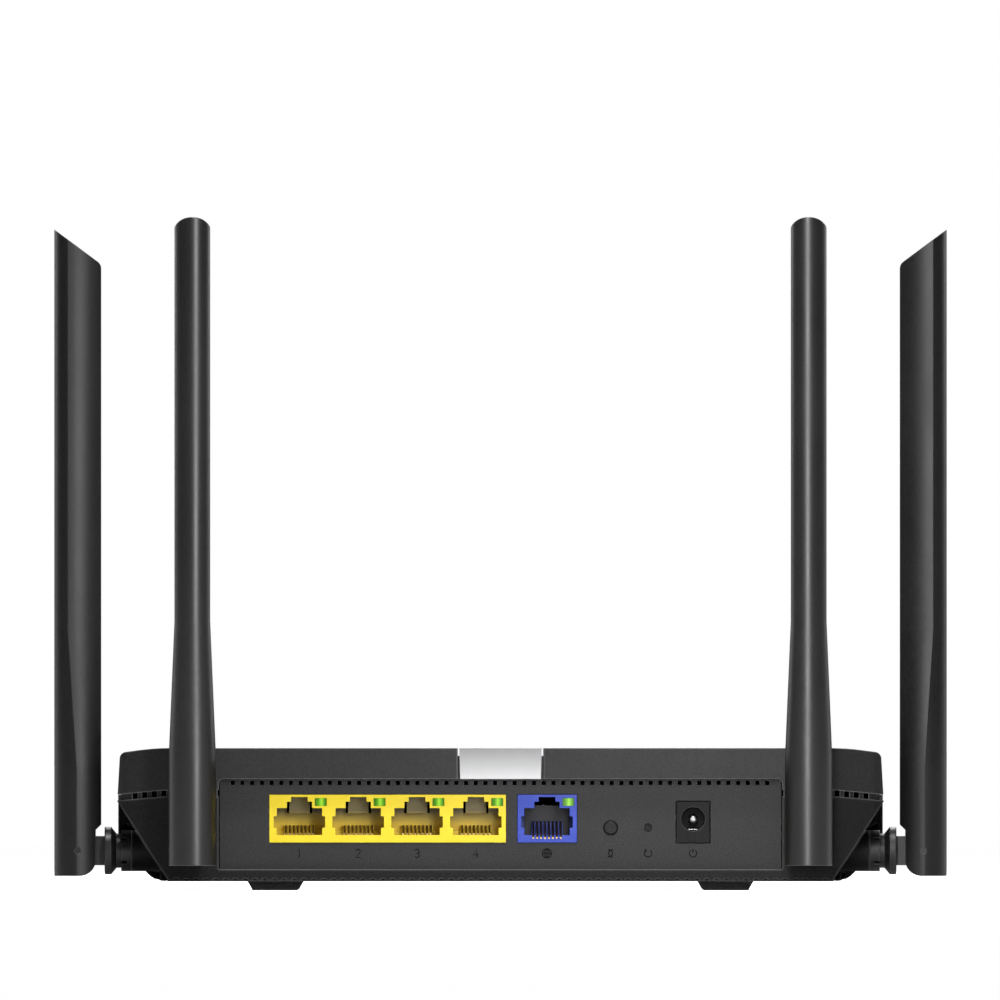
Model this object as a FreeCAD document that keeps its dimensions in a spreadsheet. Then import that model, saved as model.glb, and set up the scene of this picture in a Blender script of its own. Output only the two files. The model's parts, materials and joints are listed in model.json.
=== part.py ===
import FreeCAD, Part
import Sketcher
import math
import os
import re

# Wireless router: desktop housing with four hinged antennas.
# Z is up, the port side faces -Y and the overall box is centred on X and Y.
doc = FreeCAD.newDocument("wireless_router")

DIMENSIONS = {
    # housing
    "half_width": 99.65, "top_half": 98.95, "depth": 135.0, "top_z": 37.0, "top_edge_z": 35.8,
    "shoulder_x": 90.0, "shoulder_round": 60.0, "edge_round": 1.8,
    "bottom_z": 2.35, "wall": 2.2, "floor_z": 4.9, "ceiling_z": 32.6, "rear_y": -58.47,
    "seam_low": 24.5, "seam_high": 26.05, "seam_low_edge": 23.4, "seam_high_edge": 24.86,
    "seam_bend": 87.0, "corner_x": 86.0, "corner_rear": 3.5, "corner_front": 14.0,
    "corner_round": 4.0,
    # bottom shell
    "chamfer_x": 92.6, "chamfer_top": 14.0, "chamfer_low": 5.0, "flat_half": 90.3,
    "pocket_low_x": 86.6, "pocket_low_z": 2.9, "pocket_high_z": 23.0, "pocket_depth": 32.0,
    "hollow_x": 98.2, "hollow_in_x": 92.0, "hollow_top": 17.5,
    "hollow_low": 12.5, "hollow_deep": 6.0,
    "rear_room": 84.5, "front_room": 96.6, "low_room": 88.0, "step_z": 15.5,
    # rear recess with the port panel
    "recess_half": 73.25, "recess_low": 5.54, "recess_high": 28.94, "recess_round": 1.3,
    "panel_half": 73.0, "panel_in": 3.0, "panel_thick": 2.0, "panel_low": 5.2,
    "panel_high": 31.6, "vent_pitch": 2.527, "vent_width": 1.06, "vent_low": 27.4,
    "vent_high": 28.5, "vent_count": 56, "vent_first": 69.63,
    # slots under the bottom
    "groove_pitch": 2.553, "groove_width": 1.06, "groove_top": 3.0, "groove_count": 67,
    "groove_start": 4.5, "groove_reach": 60.0, "side_groove_z": 4.6, "window_low": 2.6,
    "window_high": 2.95, "window_deep": 3.0,
    # centre trim
    "trim_half": 10.72, "trim_half_low": 10.49, "channel_half": 11.25, "channel_z": 35.0,
    "trim_skin": 1.6,
    # vent band behind the seam
    "band_in": 1.0, "band_thick": 1.6, "band_low": 22.2, "band_high": 27.4,
    "band_slot": 1.3, "band_pitch": 2.5, "band_groove": 1.1, "band_slot_low": 23.3,
    "band_slot_high": 26.4, "band_first_in": 8.5, "strip_x": 99.45, "strip_low": 23.43,
    "strip_high": 24.83, "strip_rear_in": 6.4, "strip_front_in": 17.0,
    # feet and screws
    "foot_x": 58.7, "foot_top_half": 7.15, "foot_low_half": 5.8, "foot_rear": 14.0,
    "foot_long": 12.0, "foot_front": 109.0, "foot_seat": 3.3, "foot_peg": 4.8,
    "foot_gap": 0.1, "case_screw_x": 76.0,
    "case_screw_rear": 34.0, "case_screw_front": 118.0, "screw_shank": 1.25, "post_r": 3.4,
    "post_split": 17.9, "case_head_z": 5.1, "low_post_r": 4.2, "board_post_r": 3.0,
    "screw_head": 2.6, "screw_head_tall": 1.4,
    # main board
    "board_half": 71.0, "board_rear": 5.6, "board_long": 96.0, "board_top": 12.2,
    "board_thick": 1.6, "board_screw_x": 66.0, "board_screw_rear": 24.0,
    "board_screw_front": 94.0,
    # network jacks
    "lan_left": -60.09, "lan_right": 1.40, "jack_top": 24.88, "jack_deep": 15.5,
    "jack_low": 12.45, "jack_proud": 0.3, "jack_bore": 12.6, "port_pitch": 15.29,
    "port_first": -52.28, "wan_left": 4.45, "wan_right": 19.84, "wan_port": 12.09,
    "port_low": 14.38, "port_main_top": 21.40, "port_half": 5.9, "port_side": 6.68,
    "port_side_low": 16.28, "port_side_high": 19.27, "port_step_half": 3.28,
    "port_step_top": 23.06, "port_latch_half": 2.15, "port_latch_top": 24.28,
    "wire_pitch": 1.02, "wire_width": 0.42, "wire_low": 14.45, "wire_high": 16.9,
    "wire_deep": 3.0, "wan_wire_low": 13.4, "wan_wire_high": 17.9, "wan_wire_deep": 0.45,
    "wire_rise": 9.0, "wire_thick": 0.4,
    "led_in": 4.0, "led_out": 7.1, "led_low": 21.95, "led_high": 24.0, "led_proud": 0.1,
    "wan_led_in": 3.99, "wan_led_out": 7.09,
    "key_half": 2.65, "key_low": 20.1, "key_deep": 8.0, "ledge_in": 4.25, "ledge_high": 15.55,
    "comb_half": 4.1, "comb_high": 16.95, "comb_deep": 10.5, "comb_slot": 0.56,
    "wan_comb_high": 17.7, "wan_slot_low": 13.3, "wan_slot_deep": 4.0, "wan_latch_low": 22.1,
    "liner_thick": 1.0, "liner_fit": 0.05,
    # power jack
    "power_x": 50.08, "power_half": 4.45, "power_low": 12.2, "power_top": 23.22,
    "power_z": 18.56, "power_bore": 3.15, "power_pin": 1.25, "power_deep": 13.5,
    "power_pin_tip": 1.6, "power_pin_round": 0.8, "power_bore_deep": 10.5, "power_edge": 0.35,
    "leaf_half": 1.2, "leaf_thick": 0.25, "leaf_low": 2.6, "leaf_high": 2.2, "leaf_start": 1.2,
    "leaf_peak": 4.5, "leaf_end": 7.5,
    # buttons
    "button_x": 28.63, "button_z": 16.25, "button_r": 1.82, "button_hole": 1.97,
    "button_proud": 0.6, "button_round": 0.45, "button_flange": 2.9, "button_gap": 0.35,
    "button_back": 1.2, "reset_x": 38.35, "reset_z": 16.27, "reset_hole": 1.15,
    "reset_r": 1.0, "reset_sunk": 1.3, "reset_flange": 1.7, "switch_half": 3.1,
    "switch_in": 1.9, "switch_thick": 3.5, "switch_foot": 2.2,
    # antennas, measured from the hinge pivot
    "rear_hinge_x": 80.0, "rear_hinge_z": 13.05, "rear_hinge_out": 11.9,
    "side_hinge_x": 110.05, "side_hinge_z": 10.3, "side_hinge_in": 20.0,
    "blade_out": 6.16, "blade_in": 6.06, "blade_wide": 6.15, "blade_slim": 4.65,
    "blade_in_wide": 3.3, "blade_in_slim": 1.7, "blade_arc_wide": 5.9,
    "blade_arc_slim": 3.6, "blade_flank_wide": 11.5, "blade_flank_slim": 17.0,
    "blade_low": 6.6, "taper_low": 21.6, "taper_high": 57.0,
    "blade_top": 161.8, "blade_cut": 9.1, "hinge_flat": 4.63, "hinge_flat_top": 5.4,
    "hinge_blend": 6.9, "cheek_in": 3.2, "slot_wall": 4.3, "slot_top": 4.2,
    "bore_low": 9.0, "bore_high": 142.0, "bore_half_x": 2.3, "bore_out": 3.2,
    "bore_in": 3.4, "cable_hole": 1.1, "cable_r": 0.75, "pin_r": 0.8, "pin_half": 5.75,
    "pin_fit": 0.05, "tongue_half": 2.9, "tongue_r": 3.8, "flange_at": 6.98,
    "flange_r": 6.2, "flange_thick": 1.7, "cone_long": 1.4, "barrel_r": 4.47,
    "barrel_end": 24.9, "groove_at": 23.2, "clip_thick": 0.8, "clip_r": 5.4,
    "clip_groove_r": 3.9, "collar_at": 11.3, "collar_long": 2.5, "collar_r": 5.35,
    "sleeve_r": 4.95, "sleeve_end": 22.9, "sleeve_fit": 0.07, "seat_fit": 0.05,
    "boss_r": 6.5, "clip_room": 5.75,
    # electronics on the board
    "chip_in": 56.0, "chip_size": 16.0, "chip_tall": 1.2, "flat_tall": 1.0,
    "sink_half": 14.0, "sink_tall": 9.0, "sink_fin": 1.0, "sink_pitch": 3.0, "sink_base": 1.8,
    "memory_x": 25.0, "memory_in": 50.0, "memory_size": 10.0, "memory_long": 12.0,
    "switch_x": -29.0, "switch_in_board": 41.0, "switch_size": 14.0,
    "coil_x": -49.0, "coil_in": 22.0, "coil_long": 16.0, "coil_wide": 8.0, "coil_tall": 3.4,
    "coil_pitch": 31.0, "can_x": 28.0, "can_in": 24.0, "can_r": 3.15, "can_tall": 7.5,
    "can_pitch": 9.0, "shield_x": 45.0, "shield_in": 73.0, "shield_long": 34.0,
    "shield_wide": 26.0, "shield_tall": 3.0, "shield_skin": 0.3,
    "socket_x": 44.0, "socket_step": 8.0, "socket_in": 60.0, "socket_r": 1.6, "socket_tall": 1.4,
}

sheet = doc.addObject("Spreadsheet::Sheet", "dims")
for number, (alias, value) in enumerate(DIMENSIONS.items(), start=1):
    sheet.set(f"A{number}", alias)
    sheet.set(f"B{number}", str(value))
    sheet.setAlias(f"B{number}", alias)
doc.recompute()

NODES = []


def bound(text):
    """Expression text with every dimension name pointing at the sheet."""
    return re.sub(r"[a-z_]+", lambda m: "dims." + m[0] if m[0] in DIMENSIONS else m[0], text)


def value(text):
    return float(sheet.evalExpression(bound(text)))


def new_body(label):
    body = doc.addObject("PartDesign::Body", label)
    body.Label = label
    NODES.append(body)
    return body


def place(item, x="0", y="0", z="0", yaw=0.0):
    item.Placement = FreeCAD.Placement(
        FreeCAD.Vector(0, 0, 0), FreeCAD.Rotation(FreeCAD.Vector(0, 0, 1), yaw))
    for axis, text in (("x", x), ("y", y), ("z", z)):
        item.setExpression("Placement.Base." + axis, bound(text))


def datum(body, role):
    return next(item for item in body.Origin.OriginFeatures if item.Role == role)


def fix_point(sketch, geometry, end, x, y):
    """Hold one sketch point at expression coordinates."""
    for kind, text in (("DistanceX", x), ("DistanceY", y)):
        held = Sketcher.Constraint(kind, -1, 1, geometry, end, value(text))
        index = sketch.addConstraint(held)
        if re.search(r"[a-z]", text):
            sketch.setExpression(f"Constraints[{index}]", bound(text))


def fix_radius(sketch, geometry, text):
    index = sketch.addConstraint(Sketcher.Constraint("Radius", geometry, value(text)))
    if re.search(r"[a-z]", text):
        sketch.setExpression(f"Constraints[{index}]", bound(text))


def corner_run(corner, neighbour, bend, point):
    """Where a rounded corner leaves one of its sides: place and expressions."""
    along = neighbour - corner
    scale = 1 / (math.tan(bend / 2) * along.Length)
    radius = value(point[2])
    spot = corner + along * (scale * radius)
    texts = []
    for text, step in ((point[0], along.x), (point[1], along.y)):
        texts.append(f"{text} + ({step * scale:.9f}) * ({point[2]})")
    return spot, texts


def corner_ends(corners, points):
    """Start and end of every corner; both are the corner itself when it is sharp."""
    ends = []
    count = len(points)
    for i, point in enumerate(points):
        corner = corners[i]
        if len(point) < 3:
            ends.append(((corner, point[:2]), (corner, point[:2])))
            continue
        before, after = corners[i - 1], corners[(i + 1) % count]
        bend = (before - corner).getAngle(after - corner)
        ends.append((corner_run(corner, before, bend, point),
                     corner_run(corner, after, bend, point)))
    return ends


def add_arc(sketch, centre, radius, start, end):
    """Short arc between two points; returns it with the ends lying on start and end."""
    ahead, behind = start - centre, end - centre
    first, last = 1, 2
    if ahead.cross(behind).z < 0:
        ahead, behind = behind, ahead
        first, last = 2, 1
    low = math.atan2(ahead.y, ahead.x)
    high = math.atan2(behind.y, behind.x)
    if high < low:
        high += 2 * math.pi
    circle = Part.Circle(centre, FreeCAD.Vector(0, 0, 1), radius)
    return sketch.addGeometry(Part.ArcOfCircle(circle, low, high)), first, last


def round_corner(sketch, before, after, corner, ends, radius_text):
    """Arc between the two trimmed sides of a corner."""
    start, end = ends[0][0], ends[1][0]
    radius = value(radius_text)
    reach = math.hypot((start - corner).Length, radius)
    centre = corner + ((start + end) * 0.5 - corner).normalize() * reach
    arc, first, last = add_arc(sketch, centre, radius, start, end)
    sketch.addConstraint(Sketcher.Constraint("Coincident", before, 2, arc, first))
    sketch.addConstraint(Sketcher.Constraint("Coincident", arc, last, after, 1))
    fix_point(sketch, before, 2, *ends[0][1])
    fix_point(sketch, after, 1, *ends[1][1])
    fix_radius(sketch, arc, radius_text)


def draw_loop(sketch, points):
    """Closed outline; a point is (x, y) or (x, y, corner radius)."""
    corners = [FreeCAD.Vector(value(p[0]), value(p[1]), 0) for p in points]
    ends = corner_ends(corners, points)
    count = len(points)
    lines = []
    for i in range(count):
        line = Part.LineSegment(ends[i][1][0], ends[(i + 1) % count][0][0])
        lines.append(sketch.addGeometry(line))
    for i, point in enumerate(points):
        before, after = lines[i - 1], lines[i]
        if len(point) > 2:
            round_corner(sketch, before, after, corners[i], ends[i], point[2])
        else:
            sketch.addConstraint(Sketcher.Constraint("Coincident", before, 2, after, 1))
            fix_point(sketch, after, 1, point[0], point[1])


def draw_circle(sketch, x, y, radius):
    centre = FreeCAD.Vector(value(x), value(y), 0)
    circle = Part.Circle(centre, FreeCAD.Vector(0, 0, 1), value(radius))
    index = sketch.addGeometry(circle)
    fix_point(sketch, index, 3, x, y)
    fix_radius(sketch, index, radius)


def new_sketch(body, role, loops, at="0"):
    """Sketch on an origin plane of the body, moved to a level along that plane's axis."""
    sketch = body.newObject("Sketcher::SketchObject", body.Label + "_sketch")
    sketch.AttachmentSupport = [(datum(body, role), "")]
    sketch.MapMode = "FlatFace"
    level = f"-({at})" if role == "XZ_Plane" else at
    sketch.setExpression("AttachmentOffset.Base.z", bound(level))
    for loop in loops:
        if loop[0] == "circle":
            draw_circle(sketch, *loop[1:])
        else:
            draw_loop(sketch, loop)
    return sketch


def swept(body, kind, role, loops, low, high):
    """Pad or pocket the loops between two levels along the plane's axis."""
    rising = (role == "XZ_Plane") == (kind == "Pocket")
    sketch = new_sketch(body, role, loops, low if rising else high)
    feature = body.newObject("PartDesign::" + kind, body.Label + "_" + kind.lower())
    feature.Profile = sketch
    feature.setExpression("Length", bound(f"({high}) - ({low})"))
    sketch.Visibility = False
    body.Tip = feature
    return feature


def pad(body, role, loops, low, high):
    return swept(body, "Pad", role, loops, low, high)


def pocket(body, role, loops, low, high):
    return swept(body, "Pocket", role, loops, low, high)


def revolve(body, role, loop, axis, kind="Revolution"):
    """Turn a half outline about one axis of its sketch."""
    sketch = new_sketch(body, role, [loop])
    feature = body.newObject("PartDesign::" + kind, body.Label + "_turned")
    feature.Profile = sketch
    feature.ReferenceAxis = (sketch, [axis])
    feature.Angle = 360
    body.Tip = feature
    return feature


def line_of(body, feature, role, length, count):
    """Repeat a feature along an origin axis of the body."""
    pattern = body.newObject("PartDesign::LinearPattern", body.Label + "_row")
    pattern.Originals = [feature]
    pattern.Direction = (datum(body, role), [""])
    pattern.setExpression("Length", bound(length))
    pattern.setExpression("Occurrences", bound(count))
    body.Tip = pattern
    return pattern


def grid_of(body, feature, rows):
    """Repeat a feature along several origin axes; rows hold (axis, length, count)."""
    grid = body.newObject("PartDesign::MultiTransform", body.Label + "_grid")
    grid.Originals = [feature]
    steps = []
    for role, length, count in rows:
        step = doc.addObject("PartDesign::LinearPattern", body.Label + "_step")
        step.Direction = (datum(body, role), [""])
        step.setExpression("Length", bound(length))
        step.Occurrences = count
        body.addObject(step)
        steps.append(step)
    grid.Transformations = steps
    body.Tip = grid
    return grid


def rect(x_low, x_high, y_low, y_high):
    return [(x_low, y_low), (x_high, y_low), (x_high, y_high), (x_low, y_high)]


def disc(x, y, radius):
    return ("circle", x, y, radius)


def box(label, x_span, y_span, z_span):
    body = new_body(label)
    pad(body, "XY_Plane", [rect(*x_span, *y_span)], *z_span)
    return body


REAR = "rear_y"
FRONT = "rear_y + depth"


def plan_outline(half, bend, rear_in, rear_corner, front_in, front_corner, rounding):
    """Plan-view outline with shallow rear corners and deeper front corners."""
    rear = f"{REAR} + {rear_in}"
    front = f"{FRONT} - ({front_in})"
    rear_side = f"{REAR} + {rear_corner}"
    front_side = f"{FRONT} - ({front_corner})"
    right = [(bend, rear, rounding), (half, rear_side, rounding),
             (half, front_side, rounding), (bend, front, rounding)]
    left = [(f"-({p[0]})", *p[1:]) for p in reversed(right)]
    return right + left


def housing_block(body, profile, low, high):
    """Upright plan-view block trimmed to a cross-section seen from the rear."""
    outline = plan_outline("half_width", "corner_x", "0", "corner_rear", "0", "corner_front",
                           "corner_round")
    pad(body, "XY_Plane", [outline], low, high)
    for loop in profile:
        pocket(body, "XZ_Plane", [loop], f"{REAR} - 1", f"{FRONT} + 1")


def band_room(body, low, high):
    """Clear the space that the vent band occupies inside a cover."""
    outline = plan_outline("half_width - band_in + 0.05", "corner_x - 0.5", "band_in - 0.05",
                           "corner_rear + band_in", "band_in - 0.05", "corner_front",
                           "corner_round - 1")
    pocket(body, "XY_Plane", [outline], low, high)


def build_top_cover():
    body = new_body("top_cover")
    above = []
    for side in ("-", ""):
        start = f"{side}(shoulder_x - 12)"
        above.append([(start, "top_z + 5"), (start, "top_z"),
                      (f"{side}shoulder_x", "top_z", "shoulder_round"),
                      (f"{side}top_half", "top_edge_z", "edge_round"),
                      (f"{side}half_width", "seam_low_edge"),
                      (f"{side}(half_width + 5)", "seam_low_edge"),
                      (f"{side}(half_width + 5)", "top_z + 5")])
    under = [[("-(half_width + 5)", "seam_high_edge"), ("-half_width", "seam_high_edge"),
              ("-seam_bend", "seam_high", "20"), ("seam_bend", "seam_high", "20"),
              ("half_width", "seam_high_edge"), ("half_width + 5", "seam_high_edge"),
              ("half_width + 5", "seam_low_edge - 4"), ("-(half_width + 5)", "seam_low_edge - 4")]]
    housing_block(body, above + under, "seam_low_edge", "top_z")
    room = plan_outline("half_width - wall", "corner_x - 1", "wall", "corner_rear + wall", "wall",
                        "corner_front + 1", "corner_round - 1")
    pocket(body, "XY_Plane", [room], "seam_low_edge - 1", "ceiling_z")
    band_room(body, "seam_low_edge - 1", "band_high + 0.05")
    opening = [("-recess_half", "seam_low_edge - 1"), ("recess_half", "seam_low_edge - 1"),
               ("recess_half", "recess_high", "recess_round"),
               ("-recess_half", "recess_high", "recess_round")]
    pocket(body, "XZ_Plane", [opening], f"{REAR} - 1", f"{REAR} + wall + 1")
    add_trim_channel(body)
    for x in ("-case_screw_x", "case_screw_x"):
        for y in ("case_screw_rear", "case_screw_front"):
            spot = f"{REAR} + {y}"
            pad(body, "XY_Plane", [disc(x, spot, "post_r")], "post_split + 0.3", "ceiling_z + 0.5")
            pocket(body, "XY_Plane", [disc(x, spot, "screw_shank + 0.05")], "post_split - 1",
                   "post_split + 8")


def add_trim_channel(body):
    """Channel over the top and both ends for the centre trim."""
    ends = (("channel_z", f"{REAR} - 1", f"{FRONT} + 1"),
            ("recess_high - 1", f"{REAR} - 1", f"{REAR} + trim_skin"),
            ("recess_high", f"{FRONT} - trim_skin", f"{FRONT} + 1"))
    for low, start, end in ends:
        pocket(body, "XZ_Plane", [rect("-channel_half", "channel_half", low, "top_z + 1")], start, end)


def build_centre_trim():
    body = new_body("centre_trim")
    pad(body, "XZ_Plane", [[("-trim_half_low", "recess_high"), ("trim_half_low", "recess_high"),
                            ("trim_half", "top_z"), ("-trim_half", "top_z")]], REAR, FRONT)
    pocket(body, "XZ_Plane", [rect("-channel_half", "channel_half", "recess_high - 1", "channel_z")],
           f"{REAR} + trim_skin", f"{FRONT} - trim_skin")


def build_bottom_shell():
    body = new_body("bottom_shell")
    cuts = []
    for side in ("-", ""):
        cuts.append([(f"{side}(flat_half - 8)", "bottom_z - 2"), (f"{side}(flat_half - 8)", "bottom_z"),
                     (f"{side}flat_half", "bottom_z", "6"),
                     (f"{side}chamfer_x", "chamfer_low", "5"),
                     (f"{side}half_width", "chamfer_top", "3"),
                     (f"{side}half_width", "seam_low_edge"),
                     (f"{side}(half_width + 5)", "seam_low_edge"),
                     (f"{side}(half_width + 5)", "bottom_z - 2")])
    upper = [("-(half_width + 5)", "seam_low_edge"), ("-half_width", "seam_low_edge"),
             ("-seam_bend", "seam_low", "20"), ("seam_bend", "seam_low", "20"),
             ("half_width", "seam_low_edge"), ("half_width + 5", "seam_low_edge"),
             ("half_width + 5", "seam_low + 4"), ("-(half_width + 5)", "seam_low + 4")]
    housing_block(body, cuts + [upper], "bottom_z", "seam_low")
    room = [("-rear_room", f"{REAR} + wall"), ("rear_room", f"{REAR} + wall"),
            ("rear_room", f"{REAR} + pocket_depth + wall"),
            ("front_room", f"{REAR} + pocket_depth + wall"),
            ("front_room", f"{FRONT} - corner_front - 1"), ("corner_x - 1", f"{FRONT} - wall"),
            ("-(corner_x - 1)", f"{FRONT} - wall"), ("-front_room", f"{FRONT} - corner_front - 1"),
            ("-front_room", f"{REAR} + pocket_depth + wall"),
            ("-rear_room", f"{REAR} + pocket_depth + wall")]
    pocket(body, "XY_Plane", [room], "step_z", "seam_low + 1")
    low_room = [("-rear_room", f"{REAR} + wall"), ("rear_room", f"{REAR} + wall"),
                ("rear_room", f"{REAR} + pocket_depth + wall"),
                ("low_room", f"{REAR} + pocket_depth + wall"),
                ("low_room", f"{FRONT} - wall - 1"), ("-low_room", f"{FRONT} - wall - 1"),
                ("-low_room", f"{REAR} + pocket_depth + wall"),
                ("-rear_room", f"{REAR} + pocket_depth + wall")]
    pocket(body, "XY_Plane", [low_room], "floor_z", "step_z + 0.1")
    band_room(body, "band_low", "seam_low + 1")
    opening = rect("-recess_half", "recess_half", "recess_low", "seam_low + 1")
    pocket(body, "XZ_Plane", [opening], f"{REAR} - 1", f"{REAR} + wall + 1")
    for side in ("-", ""):
        corner = [(f"{side}pocket_low_x", "pocket_low_z - 2.5"),
                  (f"{side}pocket_low_x", "pocket_low_z"),
                  (f"{side}(half_width - 0.1)", "pocket_high_z"),
                  (f"{side}(half_width + 5)", "pocket_high_z"),
                  (f"{side}(half_width + 5)", "pocket_low_z - 2.5")]
        pocket(body, "XZ_Plane", [corner], f"{REAR} - 1", f"{REAR} + pocket_depth")
        hollow = [(f"{side}hollow_in_x", "hollow_low"), (f"{side}(hollow_x - 2)", "hollow_low"),
                  (f"{side}hollow_x", "hollow_low + 2"), (f"{side}hollow_x", "hollow_top"),
                  (f"{side}hollow_in_x", "hollow_top - 3.3")]
        pocket(body, "XZ_Plane", [hollow], f"{REAR} + pocket_depth - 1",
               f"{REAR} + pocket_depth + hollow_deep")
    add_hinge_seats(body)
    add_posts(body)
    add_bottom_grooves(body)
    add_foot_seats(body)


def add_foot_seats(body):
    """Shallow seats for the pegs of the four feet."""
    for x in ("-foot_x", "foot_x"):
        for y in ("foot_rear", "foot_front"):
            seat = rect(f"{x} - foot_peg - foot_gap", f"{x} + foot_peg + foot_gap",
                        f"{REAR} + {y} - foot_gap", f"{REAR} + {y} + foot_long + foot_gap")
            pocket(body, "XY_Plane", [seat], "bottom_z - 1", "foot_seat + foot_gap")


def add_hinge_seats(body):
    """Bosses and bores for the four swivel bushings."""
    rear_end = f"{REAR} - rear_hinge_out + sleeve_end"
    for side in ("-", ""):
        rear_x = f"{side}rear_hinge_x"
        pad(body, "XZ_Plane", [disc(rear_x, "rear_hinge_z", "boss_r")], f"{REAR} + 0.5", rear_end)
        pocket(body, "XZ_Plane", [disc(rear_x, "rear_hinge_z", "sleeve_r + seat_fit")],
               f"{REAR} - 1", f"{rear_end} + 1")
        pocket(body, "XZ_Plane", [disc(rear_x, "rear_hinge_z", "collar_r + seat_fit")],
               f"{REAR} - 1", f"{REAR} - rear_hinge_out + collar_at + collar_long")
        pocket(body, "XZ_Plane", [disc(rear_x, "rear_hinge_z", "clip_room")], rear_end,
               f"{REAR} - rear_hinge_out + barrel_end + 0.5")
    side_y = f"{REAR} + side_hinge_in"
    collar = "side_hinge_x - collar_at - collar_long"
    inner = "side_hinge_x - sleeve_end"
    spans = (("pad", "collar_r", f"{inner} + 1", collar),
             ("pocket", "sleeve_r + seat_fit", f"{inner} - 1", f"{collar} + 1"),
             ("pocket", "clip_room", "rear_room - 1", inner))
    for kind, radius, low, high in spans:
        for side in (1, -1):
            ends = (low, high) if side > 0 else (f"-({high})", f"-({low})")
            loop = [disc(side_y, "side_hinge_z", radius)]
            swept(body, kind.capitalize(), "YZ_Plane", loop, *ends)


def add_posts(body):
    """Screw posts for the cover and the main board."""
    for x in ("-case_screw_x", "case_screw_x"):
        for y in ("case_screw_rear", "case_screw_front"):
            spot = f"{REAR} + {y}"
            pad(body, "XY_Plane", [disc(x, spot, "low_post_r")], "floor_z - 0.5", "post_split")
            pocket(body, "XY_Plane", [disc(x, spot, "screw_shank + 0.3")], "bottom_z - 1",
                   "post_split + 1")
            pocket(body, "XY_Plane", [disc(x, spot, "screw_head + 0.4")], "bottom_z - 1",
                   "case_head_z + screw_head_tall")
    for x in ("-board_screw_x", "board_screw_x"):
        for y in ("board_screw_rear", "board_screw_front"):
            spot = f"{REAR} + {y}"
            pad(body, "XY_Plane", [disc(x, spot, "board_post_r")], "floor_z - 0.5",
                "board_top - board_thick")
            pocket(body, "XY_Plane", [disc(x, spot, "screw_shank + 0.02")], "floor_z + 0.5",
                   "board_top - board_thick + 0.5")


def add_bottom_grooves(body):
    """Long slots under the rear half of the floor and a row of slits in its rear edge."""
    start = "-(groove_count - 1) * groove_pitch / 2"
    low, high = f"{start} - groove_width / 2", f"{start} + groove_width / 2"
    slot = rect(low, high, f"{REAR} + groove_start", f"{REAR} + groove_reach")
    cut = pocket(body, "XY_Plane", [slot], "bottom_z - 1", "groove_top")
    line_of(body, cut, "X_Axis", "(groove_count - 1) * groove_pitch", "groove_count")
    slit = rect(low, high, "window_low", "window_high")
    cut = pocket(body, "XZ_Plane", [slit], f"{REAR} - 1", f"{REAR} + window_deep")
    line_of(body, cut, "X_Axis", "(groove_count - 1) * groove_pitch", "groove_count")
    for side in ("-", ""):
        for column in ("1", "2"):
            middle = f"{side}((groove_count - 1) / 2 + {column}) * groove_pitch"
            notch = rect(f"{middle} - groove_width / 2", f"{middle} + groove_width / 2",
                         f"{REAR} + pocket_depth - 1", f"{REAR} + groove_reach")
            pocket(body, "XY_Plane", [notch], "bottom_z - 1", "side_groove_z")


def build_port_panel():
    body = new_body("port_panel")
    face = f"{REAR} + panel_in"
    loops = [rect("-panel_half", "panel_half", "panel_low", "panel_high")]
    pad(body, "XZ_Plane", loops, face, f"{face} + panel_thick")
    gap = "0.12"
    holes = [rect(f"lan_left - {gap}", f"lan_right + {gap}", f"jack_low - {gap}", f"jack_top + {gap}"),
             rect(f"wan_left - {gap}", f"wan_right + {gap}", f"jack_low - {gap}", f"jack_top + {gap}"),
             rect(f"power_x - power_half - {gap}", f"power_x + power_half + {gap}",
                  f"power_low - {gap}", f"power_top + {gap}"),
             disc("button_x", "button_z", "button_hole"), disc("reset_x", "reset_z", "reset_hole")]
    pocket(body, "XZ_Plane", holes, f"{face} - 1", f"{face} + panel_thick + 1")
    vent = rect("-vent_first - vent_width / 2", "-vent_first + vent_width / 2", "vent_low",
                "vent_high")
    cut = pocket(body, "XZ_Plane", [vent], f"{face} - 1", f"{face} + panel_thick + 1")
    line_of(body, cut, "X_Axis", "(vent_count - 1) * vent_pitch", "vent_count")


def build_vent_band():
    body = new_body("vent_band")
    outer = plan_outline("half_width - band_in", "corner_x - 0.5", "band_in", "corner_rear + band_in",
                         "band_in", "corner_front", "corner_round - 1")
    inner = plan_outline("half_width - band_in - band_thick", "corner_x - 1", "band_in + band_thick",
                         "corner_rear + band_in + band_thick", "band_in + band_thick",
                         "corner_front + 0.5", "corner_round - 2")
    pad(body, "XY_Plane", [outer, inner], "band_low + 0.1", "band_high")
    strip = rect(f"{REAR} + strip_rear_in", f"{FRONT} - strip_front_in", "strip_low", "strip_high")
    for low, high in (("half_width - band_in - 0.1", "strip_x"),
                      ("-strip_x", "-(half_width - band_in - 0.1)")):
        pad(body, "YZ_Plane", [strip], low, high)
    floor = f"{FRONT} - band_in - band_groove"
    band_slots(body, "XZ_Plane", "-38 * band_pitch", "77", f"{REAR} - 1", f"{REAR} + 8")
    band_slots(body, "XZ_Plane", "-33 * band_pitch", "67", floor, f"{FRONT} + 1")
    side = "half_width - band_in - band_groove"
    first = f"{REAR} + band_first_in"
    band_slots(body, "YZ_Plane", first, "45", side, "half_width + 1")
    band_slots(body, "YZ_Plane", first, "45", "-(half_width + 1)", f"-({side})")
    pocket(body, "XZ_Plane", [rect("-recess_half - 0.3", "recess_half + 0.3", "0", "50")],
           f"{REAR} - 1", f"{REAR} + panel_in + 3")


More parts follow.
